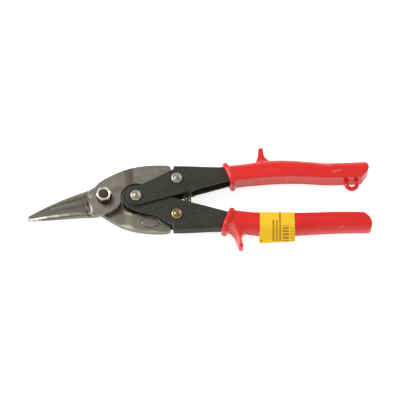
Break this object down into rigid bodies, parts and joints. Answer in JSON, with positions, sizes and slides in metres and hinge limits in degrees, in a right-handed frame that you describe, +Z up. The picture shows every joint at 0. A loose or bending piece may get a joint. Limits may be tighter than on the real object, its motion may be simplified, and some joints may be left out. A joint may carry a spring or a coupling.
{
  "type": "aviation snips",
  "caption": "Compound-leverage hand snips for sheet metal: two forged blades on a bolt, folded steel handles with dipped grips, coil spring, hook latch and folded paper label.",
  "frame": {"origin": "middle of the tool's underside: the centre of its bounding box in X and Y, at its lowest point in Z", "axes": "+X from the jaws to the grips, +Y to the handle with the hanging eye, +Z up to the pivot nut; both handles lie closed in the XY plane"},
  "size_m": [0.2478, 0.0796, 0.0203],
  "materials": {
    "forged_steel": "forged and ground, dull grey with a brown temper tint",
    "forged_steel_lower": "ground flat face, dull grey",
    "black_handle": "satin black paint on pressed sheet steel",
    "red_vinyl": "glossy dipped vinyl",
    "bolt_steel": "dark turned steel",
    "nut_steel": "dull grey steel with worn corners",
    "washer_steel": "dark oiled steel",
    "rivet_steel": "turned steel",
    "spring_steel": "brown oiled spring wire",
    "latch_steel": "satin black paint",
    "label_paper": "printed card, bare of words"
  },
  "bodies": {
    "lower_handle": {"lower_handle": "black_handle", "lower_grip": "red_vinyl", "handle_rivet": "rivet_steel", "handle_spacer": "washer_steel", "lower_link_rivet": "rivet_steel", "lower_tail_washer": "washer_steel", "latch_rivet": "rivet_steel", "latch_washer": "washer_steel", "paper_label": "label_paper"},
    "upper_handle": {"upper_handle": "black_handle", "upper_grip": "red_vinyl", "upper_link_rivet": "rivet_steel", "upper_tail_washer": "washer_steel", "latch_stud": "rivet_steel"},
    "rear_blade": {"rear_blade": "forged_steel_lower", "pivot_bolt": "bolt_steel", "pivot_washer": "washer_steel", "pivot_nut": "nut_steel", "spring": "spring_steel"},
    "front_blade": {"front_blade": "forged_steel"},
    "latch": {"latch": "latch_steel"}
  },
  "joints": [
    {"name": "handle_pivot", "type": "hinge", "parent": "lower_handle", "child": "upper_handle", "pos_m": [-0.0459, -0.0002, 0.0099], "axis": [0, 0, 1], "range_deg": [0, 30], "stiffness_Nm_per_rad": 0.6, "springref_deg": 34.38},
    {"name": "lower_link_pivot", "type": "hinge", "parent": "lower_handle", "child": "rear_blade", "pos_m": [-0.0164, -0.0142, 0.0099], "axis": [0, 0, 1], "range_deg": [0, 7]},
    {"name": "blade_pivot", "type": "hinge", "parent": "rear_blade", "child": "front_blade", "pos_m": [-0.0689, -0.0002, 0.0099], "axis": [0, 0, 1], "range_deg": [0, 16.2], "deforming": ["spring"]},
    {"name": "latch_pivot", "type": "hinge", "parent": "lower_handle", "child": "latch", "pos_m": [-0.0049, -0.0112, 0.0019], "axis": [0, 0, 1], "range_deg": [0, 90]}
  ],
  "couplings": [
    {"joint": "lower_link_pivot", "follows": "handle_pivot", "ratio": 0.231},
    {"joint": "blade_pivot", "follows": "handle_pivot", "ratio": 0.538}
  ]
}
